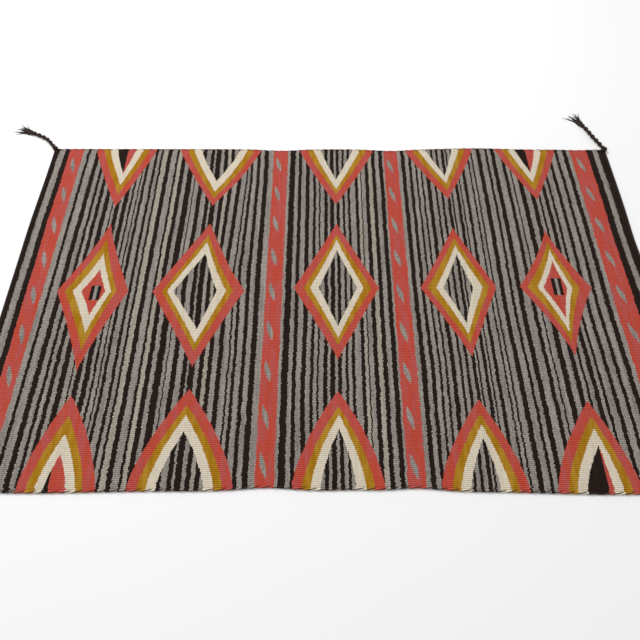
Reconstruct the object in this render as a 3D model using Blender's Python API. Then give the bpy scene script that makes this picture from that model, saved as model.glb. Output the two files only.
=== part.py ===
"""A tapestry-woven rug in the Navajo style, lying flat, with twined edge cords and corner tassels.

The underside lies on z = 0 and the rug's middle is at the origin. X runs along the length, which is
the warp direction, and Y along the width, with the far side edge at +Y. All sizes are in metres.
"""
import math
from collections import namedtuple

import bmesh
import bpy
from mathutils import Vector

# The rug without its tassels
LENGTH = 1.500
WIDTH = 0.977
THICKNESS = 0.0040
SHOULDER = 0.0012

# The cords that bind the four edges
CORD_WIDTH = 0.0055
CORD_HEIGHT = 0.0052
CORD_SIDES = 8
CORD_UNEVEN = 0.05
CORD_LUMP_SPACING = 0.043

# Touching pieces are this far apart
GAP = 0.0003

# Steps in which a side edge, an end and a corner are drawn, and how near to a corner an edge's waves
# die out
SIDE_STEPS = 60
END_STEPS = 36
CORNER_STEPS = 5
WAVE_FADE = 0.070

# The knot of a corner tassel, and how far behind its middle it is closed, as a share of its radius
KNOT_RADIUS = 0.0070
KNOT_BACK = 0.94
KNOT_BACK_RINGS = 3

# The rope leaves the knot between these two distances, in knot radii from the knot's middle
NECK_START = 0.3
NECK_END = 1.2

# The two-ply rope. The ply offset is from the rope's middle to a ply's, in ply radii.
ROPE_RADIUS = 0.0058
ROPE_END_RADIUS = 0.0047
ROPE_STEP = 0.0029
PLY_OFFSET = 0.62
TWIST_LENGTH = 0.027
CURVE_STEPS = 40

# The flat end where the rope opens out, whose two sides are this much lower than its middle
SPREAD_LENGTH = 0.012
SPREAD_WIDTH = 0.0175
SPREAD_HEIGHT = 0.0060
SPREAD_DROP = 0.45

# The locks that the rope opens into. They fill this share of their room at the root.
LOCK_WIDTH = 0.0031
LOCK_HEIGHT = 0.0026
LOCK_TIP = 0.0010
LOCK_STEPS = 6
LOCK_ROOT_SHARE = 0.72
LOCK_LENGTH_SPREAD = 0.14
LOCK_LENGTH_TURN = 2.4
FAN_ANGLE = math.radians(60)

# Places along a lock, as shares of its length: turned into the fan, at full width, starting to thin
LOCK_TURNED = 0.62
LOCK_FULL = 0.50
LOCK_THINS = 0.50

# How the edges stand out (+) or draw in (-) from their straight lines. The coral bands draw the
# two side edges in. Columns: place along the edge, push, reach.
FAR_WAVES = (
    (-0.132, -0.0060, 0.060),
    (0.163, -0.0060, 0.060),
    (0.393, 0.0050, 0.100),
    (0.675, -0.0020, 0.040),
)
NEAR_WAVES = (
    (-0.586, 0.0050, 0.160),
    (-0.125, -0.0070, 0.070),
    (0.038, -0.0030, 0.060),
    (0.163, -0.0065, 0.060),
    (0.536, 0.0050, 0.160),
)
LEFT_WAVES = (
    (0.210, 0.0020, 0.120),
    (-0.190, -0.0025, 0.130),
)
RIGHT_WAVES = (
    (0.158, -0.0035, 0.090),
    (-0.240, 0.0020, 0.140),
)

# Colours of the yarns, as linear red, green and blue
HEATHER_GREY = (0.290, 0.255, 0.225)
DARK_BROWN = (0.026, 0.015, 0.012)

# The tassels. A route's steps are (outward in X, outward in Y) from the knot.
Tassel = namedtuple("Tassel", "name side_x side_y locks lock_length phase route")
TASSELS = (
    Tassel("tassel_far_left", -1, 1, 8, 0.050, 0.0,
           ((0.016, 0.022), (0.034, 0.042), (0.060, 0.058), (0.087, 0.071))),
    Tassel("tassel_far_right", 1, 1, 9, 0.052, 1.1,
           ((-0.008, 0.024), (-0.020, 0.054), (-0.030, 0.083), (-0.042, 0.112))),
    Tassel("tassel_near_left", -1, -1, 8, 0.048, 2.0,
           ((0.012, 0.024), (0.030, 0.050), (0.040, 0.082), (0.046, 0.114))),
    Tassel("tassel_near_right", 1, -1, 8, 0.051, 0.6,
           ((0.020, 0.020), (0.044, 0.038), (0.072, 0.050), (0.101, 0.062))),
)

FIELD_HALF_X = LENGTH / 2 - CORD_WIDTH - GAP
FIELD_HALF_Y = WIDTH / 2 - CORD_WIDTH - GAP
KNOT_X = LENGTH / 2 - CORD_WIDTH / 2
KNOT_Y = WIDTH / 2 - CORD_WIDTH / 2
CORNER_RADIUS = KNOT_RADIUS + GAP


def clear_scene():
    for item in list(bpy.data.objects):
        bpy.data.objects.remove(item, do_unlink=True)


def yarn_material(name, colour):
    material = bpy.data.materials.new(name)
    material.use_nodes = True
    shader = material.node_tree.nodes["Principled BSDF"]
    shader.inputs["Base Color"].default_value = (*colour, 1.0)
    shader.inputs["Roughness"].default_value = 0.95
    shader.inputs["Metallic"].default_value = 0.0
    return material


def add_piece(name, points, faces, material):
    """A closed mesh with its faces pointing out, as one named object."""
    mesh = bpy.data.meshes.new(name)
    mesh.from_pydata([tuple(point) for point in points], [], faces)
    work = bmesh.new()
    work.from_mesh(mesh)
    bmesh.ops.recalc_face_normals(work, faces=work.faces)
    work.to_mesh(mesh)
    work.free()
    mesh.materials.append(material)
    mesh.shade_smooth()
    mesh.set_sharp_from_angle(angle=math.radians(50))
    piece = bpy.data.objects.new(name, mesh)
    bpy.context.scene.collection.objects.link(piece)
    return piece


def smooth_share(value):
    """0 to 1 with soft ends, for a value that runs past both."""
    value = min(1.0, max(0.0, value))
    return value * value * (3.0 - 2.0 * value)


def edge_push(waves, along, half):
    """How far an edge stands outside its straight line at a place along it."""
    fade = smooth_share((half - abs(along)) / WAVE_FADE)
    return fade * sum(
        push * math.exp(-(((along - place) / reach) ** 2)) for place, push, reach in waves
    )


def even_places(half, steps):
    return [half * (2.0 * index / steps - 1.0) for index in range(steps + 1)]


def side_places():
    return even_places(FIELD_HALF_X - CORNER_RADIUS, SIDE_STEPS)


def end_places():
    return even_places(FIELD_HALF_Y - CORNER_RADIUS, END_STEPS)


def corner_arc(side_x, side_y, start):
    """The points inside a rounded corner, from the edge at angle start to the next edge."""
    centre = Vector((side_x * (FIELD_HALF_X - CORNER_RADIUS), side_y * (FIELD_HALF_Y - CORNER_RADIUS), 0))
    points = []
    for step in range(1, CORNER_STEPS):
        angle = start + math.pi / 2 * step / CORNER_STEPS
        points.append(centre + CORNER_RADIUS * Vector((math.cos(angle), math.sin(angle), 0.0)))
    return points


def field_outline():
    """The cloth's edge seen from above, counter-clockwise from the near left corner."""
    sides = side_places()
    ends = end_places()
    near = [Vector((x, -FIELD_HALF_Y - edge_push(NEAR_WAVES, x, FIELD_HALF_X), 0.0)) for x in sides]
    right = [Vector((FIELD_HALF_X + edge_push(RIGHT_WAVES, y, FIELD_HALF_Y), y, 0.0)) for y in ends]
    far = [Vector((x, FIELD_HALF_Y + edge_push(FAR_WAVES, x, FIELD_HALF_X), 0.0)) for x in sides]
    left = [Vector((-FIELD_HALF_X - edge_push(LEFT_WAVES, y, FIELD_HALF_Y), y, 0.0)) for y in ends]
    quarter = math.pi / 2
    return (
        near + corner_arc(1, -1, -quarter)
        + right + corner_arc(1, 1, 0.0)
        + far[::-1] + corner_arc(-1, 1, quarter)
        + left[::-1] + corner_arc(-1, -1, 2 * quarter)
    )


def inset_outline(outline, distance):
    """The same outline drawn in by a distance, across each point's two edges."""
    count = len(outline)
    drawn_in = []
    for index, point in enumerate(outline):
        along = (outline[(index + 1) % count] - outline[index - 1]).normalized()
        drawn_in.append(point + distance * Vector((-along.y, along.x, 0.0)))
    return drawn_in


def stack_rings(rings):
    """Points and side faces of rings of equal length, one after the other."""
    count = len(rings[0])
    points = [point for ring in rings for point in ring]
    faces = []
    for level in range(len(rings) - 1):
        low = level * count
        high = low + count
        for index in range(count):
            after = (index + 1) % count
            faces.append((low + index, low + after, high + after, high + index))
    return points, faces


def make_field(material):
    """The woven cloth: a flat slab with its true outline and softened upper shoulders."""
    outline = field_outline()
    up = Vector((0.0, 0.0, 1.0))
    rings = [
        outline,
        [point + (THICKNESS - SHOULDER) * up for point in outline],
        [point + THICKNESS * up for point in inset_outline(outline, SHOULDER)],
    ]
    points, faces = stack_rings(rings)
    count = len(outline)
    faces.append(tuple(range(count))[::-1])
    faces.append(tuple(range(2 * count, 3 * count)))
    return add_piece("rug_field", points, faces, material)


def cord_ring(centre, along, swell):
    """An eight-sided section of an edge cord, resting on a flat of its underside."""
    across = Vector((-along.y, along.x, 0.0))
    flat = math.cos(math.pi / CORD_SIDES)
    ring = []
    for side in range(CORD_SIDES):
        angle = 2 * math.pi * (side + 0.5) / CORD_SIDES
        out = math.cos(angle) / flat * swell * CORD_WIDTH / 2
        rise = (math.sin(angle) / flat + 1.0) * swell * CORD_HEIGHT / 2
        ring.append(centre + out * across + Vector((0.0, 0.0, rise)))
    return ring


def make_edge_cord(name, centres, material):
    rings = []
    travelled = 0.0
    for index, centre in enumerate(centres):
        before = centres[max(index - 1, 0)]
        after = centres[min(index + 1, len(centres) - 1)]
        travelled += (centre - before).length
        swell = 1.0 - CORD_UNEVEN * math.sin(math.pi * travelled / CORD_LUMP_SPACING) ** 2
        rings.append(cord_ring(centre, (after - before).normalized(), swell))
    points, faces = stack_rings(rings)
    count = len(points)
    faces.append(tuple(range(CORD_SIDES))[::-1])
    faces.append(tuple(range(count - CORD_SIDES, count)))
    return add_piece(name, points, faces, material)


def make_side_cord(name, side, waves, material):
    """A cord along a side edge, from the knot at one corner to the knot at the next."""
    reach = KNOT_X - KNOT_RADIUS - GAP
    places = [-reach] + side_places() + [reach]
    offset = FIELD_HALF_Y + GAP + CORD_WIDTH / 2
    centres = [Vector((x, side * (offset + edge_push(waves, x, FIELD_HALF_X)), 0.0)) for x in places]
    return make_edge_cord(name, centres, material)


def make_end_cord(name, side, waves, material):
    """A cord along an end of the rug, from the knot at one corner to the knot at the next."""
    reach = KNOT_Y - KNOT_RADIUS - GAP
    places = [-reach] + end_places() + [reach]
    offset = FIELD_HALF_X + GAP + CORD_WIDTH / 2
    centres = [Vector((side * (offset + edge_push(waves, y, FIELD_HALF_Y)), y, 0.0)) for y in places]
    return make_edge_cord(name, centres, material)


def curve_point(corners, position):
    """A point on the smooth curve through the corners, at a position counted in corners."""
    index = min(int(position), len(corners) - 2)
    share = position - index
    start = corners[index]
    end = corners[index + 1]
    before = corners[index - 1] if index > 0 else 2 * start - end
    after = corners[index + 2] if index + 2 < len(corners) else 2 * end - start
    return 0.5 * (
        2 * start
        + (end - before) * share
        + (2 * before - 5 * start + 4 * end - after) * share ** 2
        + (3 * start - 3 * end + after - before) * share ** 3
    )


def even_route(corners, step):
    """Points about one step apart along the smooth curve through the corners."""
    dense_count = CURVE_STEPS * (len(corners) - 1)
    dense = [curve_point(corners, index / CURVE_STEPS) for index in range(dense_count + 1)]
    reached = [0.0]
    for start, end in zip(dense, dense[1:]):
        reached.append(reached[-1] + (end - start).length)
    count = round(reached[-1] / step)
    points = []
    index = 0
    for number in range(count + 1):
        wanted = reached[-1] * number / count
        while index < len(dense) - 2 and reached[index + 1] < wanted:
            index += 1
        share = (wanted - reached[index]) / (reached[index + 1] - reached[index])
        points.append(dense[index].lerp(dense[index + 1], share))
    return points, reached[-1]


def ply_outline(angle):
    """Radius, as a share of the largest, of two plies lying side by side."""
    return (
        PLY_OFFSET * abs(math.cos(angle))
        + math.sqrt(1.0 - (PLY_OFFSET * math.sin(angle)) ** 2)
    ) / (1.0 + PLY_OFFSET)


def knot_and_rope_ring(centre, along, travelled, length, count, phase):
    """One section across the knot or the rope, its points running over the top from left to right
    and back below. It is round in the knot, two plies in the rope and flat at the rope's end."""
    left = Vector((-along.y, along.x, 0.0))
    knot = KNOT_RADIUS * math.sqrt(1.0 - min(1.0, abs(travelled) / KNOT_RADIUS) ** 2)
    in_rope = smooth_share((travelled / KNOT_RADIUS - NECK_START) / (NECK_END - NECK_START))
    opened = smooth_share(1.0 - (length - travelled) / SPREAD_LENGTH)
    rope = ROPE_RADIUS + (ROPE_END_RADIUS - ROPE_RADIUS) * max(0.0, travelled / length)
    turn = phase + 2 * math.pi * travelled / TWIST_LENGTH
    closed_middle = KNOT_RADIUS + (rope - KNOT_RADIUS) * in_rope
    middle = closed_middle + (SPREAD_HEIGHT / 2 - closed_middle) * opened
    row = count // 2 - 1
    ring = []
    for index in range(count):
        angle = 2 * math.pi * (index + 0.5) / count
        radius = max(knot, rope * ply_outline(angle - turn) * in_rope)
        out = radius * math.cos(angle)
        rise = radius * math.sin(angle)
        from_left = min(index, count - 1 - index) / row
        flat_out = SPREAD_WIDTH * (0.5 - from_left)
        flat_half = SPREAD_HEIGHT / 2 * (1.0 - SPREAD_DROP * (1.0 - 2 * from_left) ** 4)
        flat_rise = math.copysign(flat_half, rise)
        out += (flat_out - out) * opened
        rise += (flat_rise - rise) * opened
        ring.append(centre + out * left + Vector((0.0, 0.0, middle + rise)))
    return ring


def tassel_rings(tassel):
    """All the sections of a tassel's knot and rope, and the direction in which the rope ends."""
    knot = Vector((tassel.side_x * KNOT_X, tassel.side_y * KNOT_Y, 0.0))
    corners = [knot]
    for out_x, out_y in tassel.route:
        corners.append(knot + Vector((tassel.side_x * out_x, tassel.side_y * out_y, 0.0)))
    places, length = even_route(corners, ROPE_STEP)
    count = 2 * (tassel.locks + 1)
    along = (places[1] - places[0]).normalized()
    rings = []
    for step in range(KNOT_BACK_RINGS, 0, -1):
        behind = -KNOT_BACK * KNOT_RADIUS * math.sin(math.pi / 2 * step / KNOT_BACK_RINGS)
        rings.append(knot_and_rope_ring(knot + behind * along, along, behind, length, count, tassel.phase))
    for index, place in enumerate(places):
        before = places[max(index - 1, 0)]
        after = places[min(index + 1, len(places) - 1)]
        along = (after - before).normalized()
        travelled = length * index / (len(places) - 1)
        rings.append(knot_and_rope_ring(place, along, travelled, length, count, tassel.phase))
    return rings, math.atan2(along.y, along.x)


def lock_rings(root, heading, fan, length):
    """Sections of one four-sided lock, from its root in the rope's end to its thin tip, which turns
    from the rope's heading into the fan and comes down to lie level."""
    place = sum(root, Vector()) / 4
    place.z = 0.0
    root_width = (root[1] - root[0]).length
    root_height = max(point.z for point in root)
    rings = [root]
    for step in range(1, LOCK_STEPS + 1):
        share = step / LOCK_STEPS
        angle = heading + fan * smooth_share(share / LOCK_TURNED)
        along = Vector((math.cos(angle), math.sin(angle), 0.0))
        left = Vector((-along.y, along.x, 0.0))
        place = place + along * length / LOCK_STEPS
        filled = smooth_share(share / LOCK_FULL)
        thinned = smooth_share((share - LOCK_THINS) / (1.0 - LOCK_THINS))
        width = root_width + (LOCK_WIDTH - root_width) * filled
        width += (LOCK_TIP - width) * thinned
        height = root_height + (LOCK_HEIGHT - root_height) * filled
        height += (LOCK_TIP - height) * thinned
        up = Vector((0.0, 0.0, height))
        left_foot = place + left * width / 2
        right_foot = place - left * width / 2
        rings.append([left_foot + up, right_foot + up, right_foot, left_foot])
    return rings


def make_tassel(tassel, material):
    """A corner tassel: the knot on the corner, a two-ply rope and the locks that it opens into."""
    rings, heading = tassel_rings(tassel)
    points, faces = stack_rings(rings)
    count = len(rings[0])
    faces.append(tuple(range(count))[::-1])
    last = len(points) - count
    for number in range(tassel.locks):
        cell = (number, number + 1, count - 2 - number, count - 1 - number)
        cell = [last + index for index in cell]
        middle = sum((points[index] for index in cell), Vector()) / 4
        root = [middle + (points[index] - middle) * LOCK_ROOT_SHARE for index in cell]
        fan = FAN_ANGLE * (0.5 - number / (tassel.locks - 1))
        uneven = LOCK_LENGTH_SPREAD * (1.0 - math.sin(LOCK_LENGTH_TURN * number + tassel.phase))
        length = tassel.lock_length * (1.0 - uneven)
        lock_points, lock_faces = stack_rings(lock_rings(root, heading, fan, length))
        first = len(points)
        points += lock_points
        faces += [tuple(first + index for index in face) for face in lock_faces]
        faces.append(tuple(range(len(points) - 4, len(points))))
        for side in range(4):
            after = (side + 1) % 4
            faces.append((cell[side], cell[after], first + after, first + side))
    return add_piece(tassel.name, points, faces, material)


def main():
    clear_scene()
    make_field(yarn_material("heather_wool", HEATHER_GREY))
    make_side_cord("side_cord_far", 1, FAR_WAVES, yarn_material("side_cord_far_wool", DARK_BROWN))
    make_side_cord("side_cord_near", -1, NEAR_WAVES, yarn_material("side_cord_near_wool", DARK_BROWN))
    make_end_cord("end_cord_left", -1, LEFT_WAVES, yarn_material("end_cord_left_wool", DARK_BROWN))
    make_end_cord("end_cord_right", 1, RIGHT_WAVES, yarn_material("end_cord_right_wool", DARK_BROWN))
    for tassel in TASSELS:
        make_tassel(tassel, yarn_material(tassel.name + "_wool", DARK_BROWN))


main()
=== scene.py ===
"""The looks of a Navajo-style rug: its ribbed tapestry weave, twined edge cords and corner tassels.

Lengths called _mm, and all lengths in the weave's charts, are millimetres on the woven cloth. There u
runs from the rug's left end along the warp and y from its far side edge along the weft. Other lengths
are metres in the part's frame.
"""
import math
from collections import namedtuple

import bpy
import numpy as np
from mathutils import Euler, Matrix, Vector


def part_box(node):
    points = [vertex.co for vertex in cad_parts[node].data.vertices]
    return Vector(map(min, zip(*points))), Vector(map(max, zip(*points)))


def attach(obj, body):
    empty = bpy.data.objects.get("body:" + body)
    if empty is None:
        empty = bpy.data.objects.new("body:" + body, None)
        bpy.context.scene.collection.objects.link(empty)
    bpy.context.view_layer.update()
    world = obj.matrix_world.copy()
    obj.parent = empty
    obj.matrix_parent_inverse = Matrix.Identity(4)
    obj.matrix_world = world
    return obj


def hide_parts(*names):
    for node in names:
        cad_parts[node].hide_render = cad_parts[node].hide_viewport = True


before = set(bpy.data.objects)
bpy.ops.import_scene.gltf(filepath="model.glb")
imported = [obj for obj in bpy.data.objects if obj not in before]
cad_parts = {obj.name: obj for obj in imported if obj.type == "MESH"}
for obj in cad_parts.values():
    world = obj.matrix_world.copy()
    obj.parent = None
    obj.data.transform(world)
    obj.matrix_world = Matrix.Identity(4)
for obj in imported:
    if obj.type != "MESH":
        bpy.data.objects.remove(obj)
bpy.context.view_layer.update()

MM = 0.001
SEED = 1905

# The photograph's camera: focal length in pixels of the 640 pixel frame, tilt from straight down,
# turn and place
PHOTO_SIDE = 640
FOCAL_PIXELS = 700.0
CAMERA_TILT = math.radians(35.6)
CAMERA_TURN = math.radians(0.14)
CAMERA_PLACE = (-0.0233, -1.002, 1.285)

# The rug without its tassels, and the cords that bind its edges
LENGTH = 1.500
WIDTH = 0.977
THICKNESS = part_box("rug_field")[1].z
CORD_WIDTH = 0.0055
CORD_HEIGHT = 0.0052
GAP = 0.0003
FIELD_HALF_X = LENGTH / 2 - CORD_WIDTH - GAP
FIELD_HALF_Y = WIDTH / 2 - CORD_WIDTH - GAP
BORDER_MM = (CORD_WIDTH + GAP) / MM
LENGTH_MM = LENGTH / MM
WIDTH_MM = WIDTH / MM
FIELD_WIDTH_MM = 2 * FIELD_HALF_Y / MM

# The weave: ribs along X over the warps, covered by the picks of the weft
WARPS = 233
WARP_PITCH_MM = FIELD_WIDTH_MM / WARPS
PICK_PITCH_MM = 1.45
ROWS_PER_WARP = 4
RIB_DEPTH = 0.00070
RIB_DEPTH_BELOW = 0.00045
RIB_PROUD = 0.0002
RIB_CREASE = math.radians(34)
RIB_FULLNESS = 0.75
LEAST_EVENNESS = 0.75
COLUMN_SPACING_MM = 42.0
SHOULDER_MM = 1.3
SHOULDER_DROP = 0.45

# The edges' cords. Two dark strands wind around a core of weft loops on the sides, three around each
# other on the ends.
LOOP_HALF_WIDTH = 0.0029
LOOP_HALF_HEIGHT = 0.0020
LOOP_INWARD = 0.0006
LOOP_STEP = 0.006
SIDE_STRAND_RADIUS = 0.00115
SIDE_STRAND_OFFSET = 0.00155
SIDE_STRAND_TURN = 0.045
END_STRAND_RADIUS = 0.00150
END_STRAND_OFFSET = 0.00125
END_STRAND_TURN = 0.021
STRAND_STEP = 0.0024
STRAND_SIDES = 6
LOOP_SIDES = 8

# The knots and ropes at the corners
KNOT_X = LENGTH / 2 - CORD_WIDTH / 2
KNOT_Y = WIDTH / 2 - CORD_WIDTH / 2
KNOT_RADIUS = 0.0070
CORNER_RADIUS = KNOT_RADIUS + GAP
WRAP_RADIUS = 0.0018
WRAP_TURNS = 3.6
WRAP_STEPS = 70
KNOT_CORE_STEPS = 9
KNOT_CORE_SIDES = 12
ROPE_RADIUS = 0.0058
PLY_OFFSET = 0.0026
YARNS_IN_PLY = 7
YARN_OFFSET = 0.0019
YARN_RADIUS = 0.00120
YARN_SIDES = 7
TWIST_LENGTH = 0.034
OPENING_LENGTH = 0.016
ROOT_WIDTH = 0.0150
FAN_ANGLE = math.radians(62)
TIP_RADIUS = 0.00035
LOCK_LEAN = 0.06
LEAST_REACH = 0.88
STRAY_RADIUS = 0.00050
STRAY_LIFT = 0.0035
ROPE_STEP = 0.0024
CURVE_STEPS = 24

# How the edges stand out (+) or draw in (-). Columns: place along the edge, push, reach.
FAR_WAVES = (
    (-0.132, -0.0060, 0.060),
    (0.163, -0.0060, 0.060),
    (0.393, 0.0050, 0.100),
    (0.675, -0.0020, 0.040),
)
NEAR_WAVES = (
    (-0.586, 0.0050, 0.160),
    (-0.125, -0.0070, 0.070),
    (0.038, -0.0030, 0.060),
    (0.163, -0.0065, 0.060),
    (0.536, 0.0050, 0.160),
)
LEFT_WAVES = (
    (0.210, 0.0020, 0.120),
    (-0.190, -0.0025, 0.130),
)
RIGHT_WAVES = (
    (0.158, -0.0035, 0.090),
    (-0.240, 0.0020, 0.140),
)
WAVE_FADE = 0.070
END_WAVE_REACH = 0.06

# Where the weft bands wander from straight lines. Columns: u, y, push, reach in u, reach in y.
WANDERS = (
    (505, 440, -8, 50, 120),
    (505, 110, 5, 50, 80),
    (395, 450, -4, 50, 130),
    (1165, 540, -5, 45, 160),
    (1340, 540, -5, 60, 150),
    (1000, 700, 4, 70, 120),
    (720, 760, -4, 60, 110),
    (250, 760, 4, 60, 110),
)

# The yarns. Columns: base colour and second colour as sRGB 0 to 255, how much single beads and the
# heather's flecks change the tone, and the share of streaks of the second colour.
Yarn = namedtuple("Yarn", "base second spread streak")
YARNS = (
    Yarn((33, 23, 18), (46, 34, 27), 0.40, 0.30),
    Yarn((157, 149, 141), (130, 124, 119), 0.80, 0.55),
    Yarn((171, 162, 149), (152, 144, 132), 0.66, 0.45),
    Yarn((194, 76, 58), (188, 88, 84), 0.20, 0.85),
    Yarn((168, 118, 14), (186, 142, 46), 0.22, 0.80),
    Yarn((226, 214, 192), (208, 197, 178), 0.16, 0.45),
)
DARK, GREY, LIGHT, CORAL, GOLD, CREAM = range(len(YARNS))
STRIPED = -1

# The stripes, in panels between the coral bands. Columns: where the panel starts, its first yarn and
# where each stripe ends. Dark and grey take turns.
PANELS = (
    (0, DARK, (14, 30, 43)),
    (80, GREY, (93, 100, 115, 127, 137, 145, 153, 162, 171, 183, 192, 196, 202, 213, 219, 230, 237,
                242, 250, 254, 259, 266, 278, 285, 293, 299, 311, 322, 336, 342, 351, 362, 372, 386,
                393, 396, 406, 417, 429, 438, 443, 456, 464, 474, 482, 492, 503, 513, 525, 529, 536,
                543, 554, 563, 573, 585, 598)),
    (636, GREY, (643, 657, 666, 675, 686, 696, 706, 713, 720, 725, 734, 743, 749, 759, 765, 773, 781,
                 787, 794, 801, 814, 822, 829, 832, 841, 851, 860, 870, 880, 890, 895)),
    (931, GREY, (940, 950, 959, 967, 976, 981, 989, 994, 1002, 1012, 1021, 1027, 1035, 1042, 1050,
                 1058, 1062, 1066, 1075, 1083, 1087, 1091, 1099, 1107, 1119, 1123, 1130, 1134, 1146,
                 1157, 1169, 1176, 1185, 1196, 1210, 1219, 1227, 1231, 1242, 1254, 1266, 1277, 1285,
                 1291, 1300, 1310, 1317, 1324, 1337, 1346, 1359, 1367, 1380, 1391, 1401)),
    (1447, DARK, (1464, 1477, 1500)),
)

# Where the grey stripes start that are of the light yarn
LIGHT_STRIPES = (299, 342, 474, 822, 851)

# The stretch of the rug that one colour ramp covers, because a ramp takes few stops
RAMP_SPAN_MM = 187.5

# The diamonds, each of four outlines inside one another: the edges of its coral, gold, cream and core.
# Columns: u of its tips, y of its upper tips, y of its widest place, y of its lower tips, u of its
# left and right corners, curve (1 is straight and more is hollow) and the core's yarn.
Diamond = namedtuple("Diamond", "centre tops middle bottoms lefts rights curve core")
DIAMONDS = (
    Diamond(202, (275, 327, 372, 422), 490, (708, 655, 610, 560),
            (114, 132, 151, 171), (280, 252, 240, 227), 1.20, CORAL),
    Diamond(450, (277, 316, 339, 376), 491, (698, 659, 636, 599),
            (337, 360, 372, 387), (552, 528, 512, 491), 1.05, STRIPED),
    Diamond(765, (277, 314, 332, 365), 482, (680, 643, 624, 592),
            (663, 686, 701, 721), (862, 844, 826, 811), 1.05, STRIPED),
    Diamond(1053, (292, 325, 350, 379), 480, (670, 637, 612, 583),
            (959, 975, 995, 1012), (1138, 1120, 1104, 1081), 1.05, STRIPED),
    Diamond(1281, (295, 330, 357, 394), 477, (668, 632, 605, 568),
            (1192, 1210, 1232, 1245), (1360, 1332, 1315, 1302), 1.25, CORAL),
)

# The half diamonds on the far side edge and on the near one, with the same four outlines. Columns: u
# and y of their tips, where they meet the edge on the left and right, and curve (more is fuller).
Half = namedtuple("Half", "tips_u tips_y lefts rights curve")
FAR_HALVES = (
    Half((202, 202, 202, 202), (219, 175, 140, 98), (115, 135, 152, 172), (280, 260, 243, 224), 1.15),
    Half((450, 450, 450, 450), (216, 189, 165, 125), (343, 363, 380, 400), (565, 545, 527, 508), 1.15),
    Half((765, 765, 765, 765), (211, 175, 155, 120), (668, 688, 705, 724), (868, 848, 831, 812), 1.15),
    Half((1053, 1053, 1053, 1053), (192, 160, 134, 104), (953, 973, 990, 1009),
         (1138, 1118, 1101, 1082), 1.15),
    Half((1281, 1281, 1281, 1281), (192, 160, 129, 92), (1197, 1217, 1234, 1253),
         (1362, 1342, 1325, 1306), 1.15),
)
NEAR_HALVES = (
    Half((203, 208, 210, 211), (765, 813, 853, 897), (140, 159, 176, 192), (293, 269, 255, 237), 1.50),
    Half((450, 450, 450, 450), (752, 791, 814, 851), (352, 372, 389, 408), (557, 537, 520, 501), 1.50),
    Half((765, 765, 765, 765), (758, 795, 814, 846), (670, 690, 707, 726), (852, 832, 815, 796), 1.50),
    Half((1053, 1053, 1053, 1053), (775, 809, 833, 863), (960, 980, 997, 1016),
         (1130, 1110, 1093, 1074), 1.50),
    Half((1281, 1281, 1281, 1281), (775, 811, 838, 875), (1183, 1203, 1220, 1239),
         (1347, 1327, 1310, 1291), 1.50),
)

# A place that no yarn reaches, for rows that an outline leaves out
EMPTY_U = 1.0e6

# The dark and grey bar in the two coral diamonds. Columns: u, first y, last y, half width.
BARS = (
    (204, 472, 515, 12),
    (1279, 450, 497, 12),
)

# The leaning lozenges of the coral bands. Columns: the band's start and end, u, first y.
LOZENGE_BANDS = (
    (43, 80, 62, 66),
    (598, 636, 613, 58),
    (895, 931, 910, 61),
    (1401, 1447, 1422, 60),
)
LOZENGE_PITCH_MM = 109.0
LOZENGE_HALF_LENGTH_MM = 29.0
LOZENGE_HALF_WIDTH_MM = 5.8
LOZENGE_LEAN_MM = 6.5
LOZENGE_POINT = 1.6
LOZENGE_MIDDLE = 0.3

# The corner tassels. A route's steps are (outward in X, outward in Y) from the knot. Strays are loose
# curling yarns, with steps in the same way from the rope's end.
Tassel = namedtuple("Tassel", "name side_x side_y locks lock_length phase route strays")
TASSELS = (
    Tassel("tassel_far_left", -1, 1, 8, 0.050, 0.0,
           ((0.016, 0.022), (0.034, 0.042), (0.060, 0.058), (0.087, 0.071)),
           ()),
    Tassel("tassel_far_right", 1, 1, 9, 0.052, 1.1,
           ((-0.008, 0.024), (-0.020, 0.054), (-0.030, 0.083), (-0.042, 0.112)),
           (((0.001, 0.004), (0.002, 0.014), (0.002, 0.024), (-0.002, 0.032), (-0.005, 0.043)),
            ((0.002, 0.008), (0.001, 0.015), (-0.006, 0.024), (-0.013, 0.031)))),
    Tassel("tassel_near_left", -1, -1, 8, 0.048, 2.0,
           ((0.012, 0.024), (0.030, 0.050), (0.040, 0.082), (0.046, 0.114)),
           (((0.002, 0.006), (0.006, 0.018), (0.004, 0.030), (0.009, 0.040)),)),
    Tassel("tassel_near_right", 1, -1, 8, 0.051, 0.6,
           ((0.020, 0.020), (0.044, 0.038), (0.072, 0.050), (0.101, 0.062)),
           ()),
)

# The noises of the wool. Columns: waves for each mm along u and along y, detail and roughness.
Grain = namedtuple("Grain", "along across detail roughness")
SLOW_DRIFT = Grain(0.012, 0.03, 2.0, 0.5)
STREAKS = Grain(0.085, 0.011, 3.0, 0.6)
FLECKS = Grain(0.62, 0.30, 3.0, 0.75)
BANDS = Grain(0.16, 0.004, 2.0, 0.5)
FIBRE = Grain(2.2, 0.9, 3.0, 0.6)

# How far the yarns' edges stray, slowly and from one group of beads to the next
SLOW_STRAY_MM = 4.0
QUICK_STRAY_MM = 1.9
GROUPS_PER_MM = 0.05
MOTIF_STRAY = 0.5

# How strongly each effect changes the wool's tone; the valley, crown, bead edge and bead dome amounts are
# painted shade and painted highlight on the ribs and beads
BEAD_TONE = 0.55
FLECK_TONE = 0.80
BAND_TONE = 0.9
# Painted shade in the ribs' valleys and painted highlight on their crowns
VALLEY_PAINTED_SHADE = 0.66
CROWN_PAINTED_HIGHLIGHT = 0.42
# Painted shade at the beads' edges and painted highlight on their domes
BEAD_EDGE_PAINTED_SHADE = 0.84
BEAD_DOME_PAINTED_HIGHLIGHT = 0.22

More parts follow.
